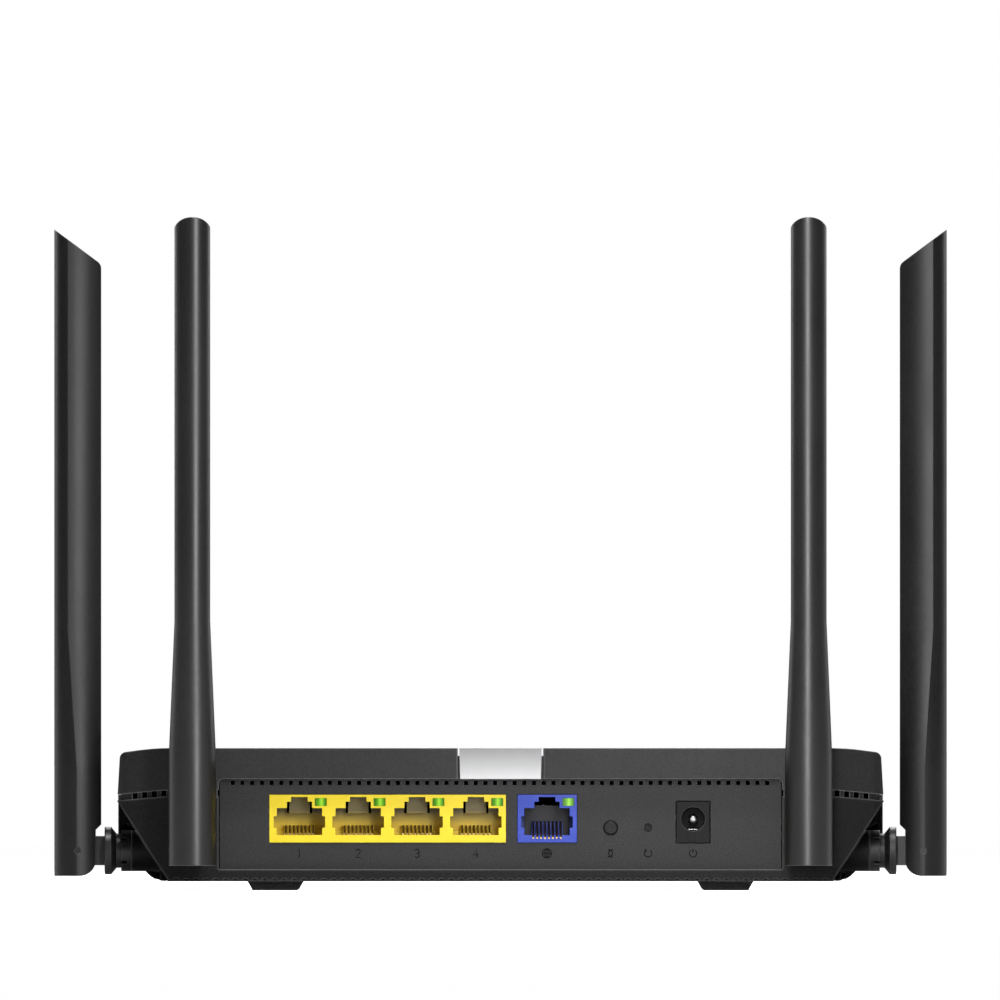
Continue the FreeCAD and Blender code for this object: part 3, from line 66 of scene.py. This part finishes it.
# ---------------------------------------------------------------- node helpers
class Shader:
    """A material under construction: its node tree and its principled shader."""

    def __init__(self, name):
        self.material = bpy.data.materials.new(name)
        self.material.use_nodes = True
        self.tree = self.material.node_tree
        self.nodes = self.tree.nodes
        self.bsdf = next(n for n in self.nodes if n.type == "BSDF_PRINCIPLED")
        self.coords = self.add("ShaderNodeTexCoord").outputs["Object"]

    def add(self, kind, **settings):
        node = self.nodes.new(kind)
        for key, setting in settings.items():
            setattr(node, key, setting)
        return node

    def link(self, source, target):
        self.tree.links.new(source, target)

    def feed(self, name, content):
        """Link a socket to, or set a number on, the principled shader's input of that name."""
        self.join(self.bsdf.inputs[name], content)

    def join(self, target, content):
        if isinstance(content, bpy.types.NodeSocket):
            self.link(content, target)
        else:
            target.default_value = content

    def along(self, axis):
        """Object coordinate along X, Y or Z."""
        split = self.add("ShaderNodeSeparateXYZ")
        self.link(self.coords, split.inputs[0])
        return split.outputs[axis]

    def noise(self, scale, detail=2.0, rough=0.5, stretch=None):
        """Noise in object space; scale is in cells per metre."""
        node = self.add("ShaderNodeTexNoise")
        node.inputs["Scale"].default_value = scale
        node.inputs["Detail"].default_value = detail
        node.inputs["Roughness"].default_value = rough
        source = self.coords
        if stretch:
            mapping = self.add("ShaderNodeMapping")
            mapping.inputs["Scale"].default_value = stretch
            self.link(source, mapping.inputs["Vector"])
            source = mapping.outputs["Vector"]
        self.link(source, node.inputs["Vector"])
        return node.outputs["Fac"]

    def ramp(self, source, stops):
        """Colour ramp; stops hold (position, grey or colour)."""
        node = self.add("ShaderNodeValToRGB")
        elements = node.color_ramp.elements
        while len(elements) < len(stops):
            elements.new(0.5)
        for element, (at, colour) in zip(elements, stops):
            element.position = at
            element.color = as_colour(colour)
        self.link(source, node.inputs["Fac"])
        return node.outputs["Color"]

    def scaled(self, source, low, high, start=0.0, end=1.0):
        """The span from start to end mapped to the span from low to high, clamped."""
        node = self.add("ShaderNodeMapRange")
        node.inputs["From Min"].default_value = start
        node.inputs["From Max"].default_value = end
        node.inputs["To Min"].default_value = low
        node.inputs["To Max"].default_value = high
        self.link(source, node.inputs["Value"])
        return node.outputs["Result"]

    def mixed(self, factor, first, second, blend="MIX"):
        """Colour mix; each side is a colour or a socket."""
        node = self.add("ShaderNodeMix", data_type="RGBA", blend_type=blend)
        for side, content in (("A", first), ("B", second)):
            socket = next(s for s in node.inputs if s.name == side and s.type == "RGBA")
            is_socket = isinstance(content, bpy.types.NodeSocket)
            self.join(socket, content if is_socket else as_colour(content))
        self.join(node.inputs[0], factor)
        return next(s for s in node.outputs if s.type == "RGBA")

    def math(self, operation, first, second):
        node = self.add("ShaderNodeMath", operation=operation)
        self.join(node.inputs[0], first)
        self.join(node.inputs[1], second)
        return node.outputs[0]

    def bump(self, height, strength, distance, normal=None):
        node = self.add("ShaderNodeBump")
        node.inputs["Strength"].default_value = strength
        node.inputs["Distance"].default_value = distance
        self.link(height, node.inputs["Height"])
        if normal is not None:
            self.link(normal, node.inputs["Normal"])
        return node.outputs["Normal"]

    def edges(self, radius):
        """(rounded normal, mask that is 1 on edges) for a small edge radius."""
        bevel = self.add("ShaderNodeBevel", samples=6)
        bevel.inputs["Radius"].default_value = radius
        geometry = self.add("ShaderNodeNewGeometry")
        dot = self.add("ShaderNodeVectorMath", operation="DOT_PRODUCT")
        self.link(bevel.outputs["Normal"], dot.inputs[0])
        self.link(geometry.outputs["Normal"], dot.inputs[1])
        mask = self.scaled(dot.outputs["Value"], 1.0, 0.0, 0.86, 0.999)
        return bevel.outputs["Normal"], mask


def as_colour(content):
    """A grey level or an RGB colour as RGBA."""
    if isinstance(content, (int, float)):
        return (content, content, content, 1.0)
    return (*content, 1.0)


def shifted(colour, factor, lift=0.0):
    """The colour times factor plus lift, at most 1 in each channel."""
    return [min(1, c * factor + lift) for c in colour]


# ---------------------------------------------------------------- materials
def grained_plastic(name, colour, rough, grain=2400.0, depth=0.35, wear=0.35, edge=0.25 * MM,
                    specular=0.5, speck=0.8):
    """Spark-eroded moulded plastic: fine grain, uneven gloss and edges lightened as a painted
    highlight.
    """
    s = Shader(name)
    normal, edge_mask = s.edges(edge)
    fine = s.noise(grain, 2.0, 0.6)
    coarse = s.noise(grain * 0.38, 2.0, 0.55)
    cloud = s.noise(26.0, 3.0, 0.6)
    height = s.math("ADD", fine, s.math("MULTIPLY", coarse, 0.7))
    s.feed("Normal", s.bump(height, depth, 0.06 * MM, normal))
    speckle = s.ramp(fine, [(0.38, 0.35), (0.62, 1.90)])
    base = s.mixed(speck, colour, s.mixed(1.0, colour, speckle, "MULTIPLY"))
    soft = s.mixed(s.scaled(cloud, 0.0, 0.2, 0.35, 0.7), base, shifted(colour, 1.4))
    # Painted highlight: the edge mask lightens the base colour along every edge.
    s.feed("Base Color", s.mixed(s.math("MULTIPLY", edge_mask, wear), soft, shifted(colour, 5, 0.16)))
    gloss = s.scaled(cloud, rough - 0.035, rough + 0.04, 0.3, 0.7)
    s.feed("Roughness", s.math("SUBTRACT", gloss, s.math("MULTIPLY", edge_mask, 0.06)))
    s.feed("Specular IOR Level", specular)
    return s.material


def jack_plastic(name, colour, inner_shade_low, inner_shade_high):
    """Glossier connector plastic with a faint flow pattern; painted shade darkens it deep inside the
    socket, most towards its top, and a painted highlight lightens its edges.
    """
    s = Shader(name)
    normal, edge_mask = s.edges(0.16 * MM)
    grain = s.noise(2200.0, 2.0, 0.5)
    s.feed("Normal", s.bump(grain, 0.16, 0.05 * MM, normal))
    flow = s.noise(120.0, 3.0, 0.6, (1.0, 0.25, 2.0))
    low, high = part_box("lan_jack_block")
    inside = s.scaled(s.along("Y"), 0.0, 1.0, low.y + 0.5 * MM, low.y + 7.5 * MM)
    rise = s.scaled(s.along("Z"), 0.0, 1.0, high.z - 7.6 * MM, high.z - 4.2 * MM)
    body = s.mixed(s.scaled(flow, 0.0, 0.35, 0.35, 0.7), colour, shifted(colour, 0.92))
    # Painted shade inside the socket: darker the deeper in and the higher up.
    shaded = s.mixed(inside, body, s.mixed(rise, inner_shade_low, inner_shade_high))
    # Painted highlight along the edges.
    lit_edge = s.math("MULTIPLY", edge_mask, 0.35)
    s.feed("Base Color", s.mixed(lit_edge, shaded, shifted(colour, 1.25, 0.06)))
    s.feed("Roughness", s.scaled(flow, 0.31, 0.42, 0.3, 0.7))
    s.feed("Specular IOR Level", 0.25)
    return s.material


def satin_silver():
    """Sprayed silver lacquer with a painted floor reflection making it lighter towards the bottom of
    the end face, and a painted highlight on its edges.
    """
    s = Shader("satin_silver")
    normal, edge_mask = s.edges(0.3 * MM)
    flake = s.noise(5200.0, 2.0, 0.6)
    brushed = s.noise(900.0, 3.0, 0.5, (1.0, 0.06, 1.0))
    height = s.math("ADD", flake, s.math("MULTIPLY", brushed, 0.5))
    s.feed("Normal", s.bump(height, 0.12, 0.05 * MM, normal))
    low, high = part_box("centre_trim")
    rise = s.scaled(s.along("Z"), 0.0, 1.0, low.z, high.z)
    # Painted reflection of the floor: lighter towards the bottom, darker towards the top.
    painted_reflection = s.ramp(rise, [(0.0, (0.58, 0.58, 0.59)), (0.5, (0.38, 0.38, 0.385)),
                          (1.0, (0.23, 0.23, 0.235))])
    sparkle = s.ramp(flake, [(0.3, 0.8), (0.7, 1.2)])
    grain = s.mixed(0.35, painted_reflection, s.mixed(1.0, painted_reflection, sparkle, "MULTIPLY"))
    # Painted highlight along the edges.
    s.feed("Base Color", s.mixed(s.math("MULTIPLY", edge_mask, 0.4), grain, (0.90, 0.90, 0.90)))
    s.feed("Roughness", s.scaled(brushed, 0.38, 0.5, 0.3, 0.7))
    s.feed("Metallic", 0.1)
    return s.material


def metal(name, colour, rough, stretch=(1.0, 1.0, 1.0)):
    """Bare metal with drawn lines, uneven gloss and a painted highlight along its edges."""
    s = Shader(name)
    normal, edge_mask = s.edges(0.1 * MM)
    lines = s.noise(1800.0, 3.0, 0.6, stretch)
    cloud = s.noise(160.0, 2.0, 0.5)
    s.feed("Normal", s.bump(lines, 0.12, 0.03 * MM, normal))
    tarnished = s.mixed(s.scaled(cloud, 0.0, 0.5, 0.4, 0.75), colour, shifted(colour, 0.72))
    # Painted highlight: the edge mask lightens the colour along the edges.
    s.feed("Base Color", s.mixed(s.math("MULTIPLY", edge_mask, 0.4), tarnished, shifted(colour, 1.2)))
    s.feed("Roughness", s.scaled(lines, rough - 0.05, rough + 0.1, 0.3, 0.7))
    s.feed("Metallic", 1.0)
    return s.material


def light_pipe():
    """Clear green rods lit from behind, with a painted reflection making each brightest along its
    middle.
    """
    s = Shader("light_pipe")
    swirl = s.noise(1500.0, 2.0, 0.5)
    across = s.along("X")
    low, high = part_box("port_lamps")
    single = s.math("GREATER_THAN", across, high.x - 2 * LAMP_WIDE)
    offset = s.math("MULTIPLY", single, high.x - LAMP_WIDE - low.x - 4 * PORT_PITCH)
    run = s.math("SUBTRACT", s.math("SUBTRACT", across, low.x), offset)
    part = s.math("FRACT", s.math("DIVIDE", run, PORT_PITCH), 0.0)
    within = s.math("MULTIPLY", part, PORT_PITCH / LAMP_WIDE)
    dark, dim, bright = (0.015, 0.06, 0.002), (0.06, 0.26, 0.008), (0.34, 0.70, 0.045)
    # The rods really glow, and a painted reflection brightens the middle of each one and darkens its
    # sides.
    glow_and_sheen = s.ramp(within, [(0.0, dark), (0.28, dim), (0.56, bright), (0.82, dim), (1.0, dark)])
    colour = s.mixed(s.scaled(swirl, 0.0, 0.3), glow_and_sheen, (0.18, 0.50, 0.03))
    s.feed("Base Color", colour)
    s.feed("Emission Color", colour)
    s.feed("Emission Strength", 0.22)
    s.feed("Specular IOR Level", 0.2)
    s.feed("Normal", s.bump(swirl, 0.2, 0.05 * MM))
    s.feed("Roughness", s.scaled(swirl, 0.12, 0.25))
    return s.material


def circuit_board():
    """Green solder mask over copper tracks."""
    s = Shader("circuit_board")
    cells = s.add("ShaderNodeTexBrick")
    cells.inputs["Scale"].default_value = 260.0
    cells.inputs["Mortar Size"].default_value = 0.035
    s.link(s.coords, cells.inputs["Vector"])
    tracks = s.ramp(cells.outputs["Fac"], [(0.2, (0.010, 0.085, 0.032)), (0.8, (0.03, 0.16, 0.06))])
    s.feed("Base Color", s.mixed(s.scaled(s.noise(90.0), 0.0, 0.4), tracks, (0.02, 0.11, 0.04)))
    s.feed("Normal", s.bump(cells.outputs["Fac"], 0.3, 0.04 * MM))
    s.feed("Roughness", s.scaled(s.noise(700.0), 0.25, 0.4))
    return s.material


def plastic(name, level, blue, rough, **settings):
    """Grained plastic of a neutral grey, with a blue channel of its own."""
    return grained_plastic(name, (level, level, blue), rough, **settings)


SLOT_MATERIALS = {
    "housing_black": plastic("housing_black", 0.0065, 0.007, 0.48, depth=0.14, wear=0.9,
                             edge=0.5 * MM, specular=0.36),
    "panel_black": plastic("panel_black", 0.024, 0.025, 0.52, depth=0.16, wear=0.3, specular=0.27,
                           speck=0.3),
    "antenna_black": plastic("antenna_black", 0.004, 0.0043, 0.36, depth=0.08, wear=0.6,
                             edge=0.3 * MM, specular=0.74),
    "hinge_black": plastic("hinge_black", 0.007, 0.0072, 0.42, depth=0.12, wear=0.6),
    "hinge_pin_dark": plastic("hinge_pin_dark", 0.012, 0.0125, 0.42, depth=0.08),
    "button_black": plastic("button_black", 0.008, 0.0082, 0.46, depth=0.12, wear=0.7,
                            specular=0.22),
    "switch_black": plastic("switch_black", 0.02, 0.02, 0.5),
    "chip_black": plastic("chip_black", 0.02, 0.022, 0.6),
    "liner_dark": grained_plastic("liner_dark", (0.040, 0.041, 0.047), 0.55, depth=0.2, speck=0.2),
    "power_jack_black": plastic("power_jack_black", 0.006, 0.0063, 0.46, depth=0.15, wear=0.7,
                                specular=0.16),
    "cable_grey": plastic("cable_grey", 0.25, 0.25, 0.5, depth=0.15),
    "foot_rubber": plastic("rubber_feet", 0.11, 0.11, 0.72, grain=2600.0, depth=0.5, wear=0.2,
                           edge=0.2 * MM, specular=0.3, speck=0.25),
    "silver_trim": satin_silver(),
    "jack_yellow": jack_plastic("jack_yellow", (0.90, 0.69, 0.028), (0.90, 0.68, 0.07),
                                (0.20, 0.17, 0.085)),
    "jack_blue": jack_plastic("jack_blue", (0.032, 0.066, 0.46), (0.06, 0.09, 0.40),
                              (0.004, 0.006, 0.02)),
    "contact_gold": metal("contact_gold", (0.60, 0.42, 0.17), 0.32, (1.0, 0.2, 1.0)),
    "pin_chrome": metal("pin_chrome", (0.20, 0.20, 0.205), 0.30, (1.0, 0.2, 1.0)),
    "screw_steel": metal("screw_steel", (0.45, 0.45, 0.46), 0.32),
    "sink_aluminium": metal("sink_aluminium", (0.70, 0.70, 0.72), 0.36, (0.2, 1.0, 1.0)),
    "shield_steel": metal("shield_steel", (0.60, 0.60, 0.60), 0.3),
    "lamp_green": light_pipe(),
    "board_green": circuit_board(),
}

BLADE_BLACK = plastic("blade_black", 0.004, 0.0043, 0.40, depth=0.08, wear=0.6, edge=0.3 * MM,
                      specular=0.42)
# Bottom shell: a wide edge radius spreads the lightened edges into a painted highlight band along its
# corners.
SHELL_BLACK = plastic("housing_shell", 0.005, 0.0053, 0.52, depth=0.16, wear=0.45,
                      edge=0.9 * MM, specular=0.20)
NODE_MATERIALS = {
    "side_left_antenna_shell": BLADE_BLACK,
    "side_right_antenna_shell": BLADE_BLACK,
    "bottom_shell": SHELL_BLACK,
}


def dress_nodes():
    """Give every CAD node its own procedural material, or else that of its slot."""
    for entry in frame["record"]["subparts"]:
        name = entry["node"]
        materials = NODES[name].data.materials
        materials.clear()
        materials.append(NODE_MATERIALS.get(name, SLOT_MATERIALS[entry["material_slot"]]))


# ---------------------------------------------------------------- printed marks
PANEL_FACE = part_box("port_panel")[0].y
MARK_Z = 9.65 * MM
MARK_STROKE = 0.28 * MM
MARK_SCALE = 1.2
MARK_FLATNESS = 0.4
DIGIT_STEPS = 12


def print_ink():
    """Pad-printed ink, slightly glossy, worn thin in places."""
    s = Shader("print_ink")
    worn = s.noise(900.0, 3.0, 0.6)
    s.feed("Base Color", s.ramp(worn, [(0.3, 0.001), (0.75, 0.004)]))
    s.feed("Roughness", s.scaled(worn, 0.65, 0.85))
    s.feed("Specular IOR Level", 0.12)
    s.feed("Normal", s.bump(worn, 0.2, 0.03 * MM))
    return s.material


INK = print_ink()


def printed(name, x, strokes):
    """Marks on the panel drawn as thin strokes; strokes are lists of (x, z) in millimetres."""
    curve = bpy.data.curves.new(name, "CURVE")
    curve.dimensions = "3D"
    curve.bevel_depth = MARK_STROKE / 2
    curve.bevel_resolution = 1
    for points in strokes:
        closed = points[0] == points[-1]
        kept = points[:-1] if closed else points
        spline = curve.splines.new("POLY")
        spline.points.add(len(kept) - 1)
        for point, (px, pz) in zip(spline.points, kept):
            point.co = (px * MARK_SCALE * MM, 0.0, pz * MARK_SCALE * MM, 1.0)
        spline.use_cyclic_u = closed
    mark = bpy.data.objects.new(name, curve)
    scene.collection.objects.link(mark)
    mark.location = (x, PANEL_FACE, MARK_Z)
    mark.scale = (1.0, MARK_FLATNESS, 1.0)
    curve.materials.append(INK)
    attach(mark, "housing")


def middle(node):
    """The middle of the node's box in X."""
    low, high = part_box(node)
    return (low.x + high.x) / 2


def ring(radius, start=0.0, end=360.0, x=0.0, z=0.0, steps=24):
    """Points of an arc about (x, z); angles in degrees clockwise from the top."""
    turn = [math.radians(start + (end - start) * i / steps) for i in range(steps + 1)]
    points = [(x + radius * math.sin(t), z + radius * math.cos(t)) for t in turn]
    if abs(end - start) >= 360:
        points[-1] = points[0]
    return points


DIGITS = {
    "1": [[(-0.3, 0.6), (0.0, 0.9), (0.0, -0.9)]],
    "2": [ring(0.45, -80, 120, 0, 0.42, DIGIT_STEPS) + [(-0.45, -0.9), (0.5, -0.9)]],
    "3": [ring(0.43, -70, 180, 0, 0.45, DIGIT_STEPS) + ring(0.46, 0, 250, 0, -0.44, DIGIT_STEPS)],
    "4": [[(0.25, -0.9), (0.25, 0.9), (-0.5, -0.35), (0.55, -0.35)]],
}


LINK_SIGN = [ring(0.75, 20, 200, -0.35), ring(0.75, 200, 380, 0.35),
             [(-0.1, 0.95), (-0.45, 0.65), (-0.05, 0.45)],
             [(0.1, -0.95), (0.45, -0.65), (0.05, -0.45)]]
RESTART_SIGN = [ring(0.8, 40, 330), [(-0.75, 0.95), (-0.38, 0.72), (-0.42, 0.28)]]
POWER_SIGN = [ring(0.8, 35, 325), [(0.0, 0.1), (0.0, 1.0)]]


def globe_sign():
    """A circle with its equator, its axis and one meridian."""
    meridian = [(0.5 * math.sin(t * math.pi / 6), math.cos(t * math.pi / 6)) for t in range(12)]
    meridian.append(meridian[0])
    return [ring(1.0), [(-1.0, 0.0), (1.0, 0.0)], [(0.0, -1.0), (0.0, 1.0)], meridian]


def print_marks():
    """Generic port numbers and pictograms under the sockets and buttons."""
    low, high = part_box("lan_jack_contacts")
    pitch = (high.x - low.x - COMB_WIDE) / 3
    first = low.x + COMB_WIDE / 2
    for number in range(4):
        printed(f"mark_port_{number + 1}", first + number * pitch, DIGITS[str(number + 1)])
    printed("mark_globe", middle("wan_jack_contacts"), globe_sign())
    printed("mark_link", middle("wps_button"), LINK_SIGN)
    printed("mark_restart", middle("reset_plunger"), RESTART_SIGN)
    printed("mark_power", middle("power_jack"), POWER_SIGN)


# ---------------------------------------------------------------- stage
FLOOR_HALF = 6.0
FLOOR_GAP = 0.02 * MM
FLOOR_GLOW = 0.91
AMBIENT = 0.10


def node_of(tree, kind):
    return next(n for n in tree.nodes if n.type == kind)


def for_camera(tree, plain, seen, out):
    """Show the shader seen to camera rays and plain to all others."""
    path = tree.nodes.new("ShaderNodeLightPath")
    pick = tree.nodes.new("ShaderNodeMixShader")
    tree.links.new(path.outputs["Is Camera Ray"], pick.inputs[0])
    tree.links.new(plain.outputs[0], pick.inputs[1])
    tree.links.new(seen.outputs[0], pick.inputs[2])
    tree.links.new(pick.outputs[0], out.inputs[0])


def pale_floor():
    """Matt floor that glows a little for the camera only."""
    s = Shader("pale_floor")
    cloud = s.noise(3.0, 2.0, 0.5)
    s.feed("Base Color", s.ramp(cloud, [(0.3, 0.78), (0.7, 0.82)]))
    s.feed("Roughness", 0.9)
    s.feed("Specular IOR Level", 0.0)
    glow_and_sheen = s.add("ShaderNodeEmission")
    glow_and_sheen.inputs["Strength"].default_value = FLOOR_GLOW
    both = s.add("ShaderNodeAddShader")
    s.link(s.bsdf.outputs[0], both.inputs[0])
    s.link(glow_and_sheen.outputs[0], both.inputs[1])
    for_camera(s.tree, s.bsdf, both, node_of(s.tree, "OUTPUT_MATERIAL"))
    return s.material


def make_stage():
    """Pale floor and a bright plain surround."""
    mesh = bpy.data.meshes.new("floor")
    corners = [(-1, -1), (1, -1), (1, 1), (-1, 1)]
    mesh.from_pydata([(FLOOR_HALF * x, FLOOR_HALF * y, 0) for x, y in corners], [], [(0, 1, 2, 3)])
    floor = bpy.data.objects.new("floor", mesh)
    floor.location.z = cad_low.z - FLOOR_GAP
    mesh.materials.append(pale_floor())
    scene.collection.objects.link(floor)

    world = bpy.data.worlds.new("surround")
    scene.world = world
    world.use_nodes = True
    tree = world.node_tree
    painted_reflection = node_of(tree, "BACKGROUND")
    painted_reflection.inputs["Color"].default_value = WHITE
    painted_reflection.inputs["Strength"].default_value = AMBIENT
    seen = tree.nodes.new("ShaderNodeBackground")
    seen.inputs["Color"].default_value = WHITE
    for_camera(tree, painted_reflection, seen, node_of(tree, "OUTPUT_WORLD"))


def soft_light(name, where, target, size, power):
    """Rectangular area light aimed at target, unseen by the camera; power in watts."""
    data = bpy.data.lights.new(name, "AREA")
    data.shape = "RECTANGLE"
    data.size, data.size_y = size
    data.energy = power
    light = bpy.data.objects.new(name, data)
    light.location = where
    light.rotation_mode = "QUATERNION"
    light.rotation_quaternion = (Vector(target) - Vector(where)).to_track_quat("-Z", "Y")
    light.visible_camera = False
    scene.collection.objects.link(light)


def make_lights():
    """A close tall strip facing the ports, and smaller lights around the object."""
    soft_light("strip", (0.05, -0.38, 0.13), (0.05, 0, 0.10), (0.045, 0.36), 0.95)
    soft_light("top", (0.0, -0.42, 1.15), (0, -0.05, 0.0), (0.4, 0.18), 11.0)
    soft_light("left", (-1.2, 0.9, 0.6), (0, 0, 0.08), (0.3, 0.8), 7.0)
    soft_light("right", (1.2, 0.9, 0.6), (0, 0, 0.08), (0.3, 0.8), 7.0)
    soft_light("back", (0.2, 1.4, 1.0), (0, 0, 0.06), (0.7, 0.7), 14.0)


LENS = 1500.0
SENSOR = 36.0
VIEW_WIDTH = 0.260
VIEW_SIDE = -0.00013
VIEW_LIFT = 0.1015
EYE_LIFT = 0.033


def make_camera():
    """Very long lens at the height of the cover, looking at the port side."""
    data = bpy.data.cameras.new("camera")
    data.sensor_width = SENSOR
    data.lens = LENS
    distance = VIEW_WIDTH * LENS / SENSOR
    data.clip_start = distance * 0.2
    data.clip_end = distance * 6
    camera = bpy.data.objects.new("camera", data)
    camera.location = (VIEW_SIDE, PANEL_FACE - distance, cad_low.z + EYE_LIFT)
    rise = math.atan((VIEW_LIFT - EYE_LIFT) / distance)
    camera.rotation_euler = (math.radians(90) + rise, 0, 0)
    scene.collection.objects.link(camera)
    scene.camera = camera


scene.view_settings.view_transform = "Standard"
make_camera()
dress_nodes()
print_marks()
make_stage()
make_lights()
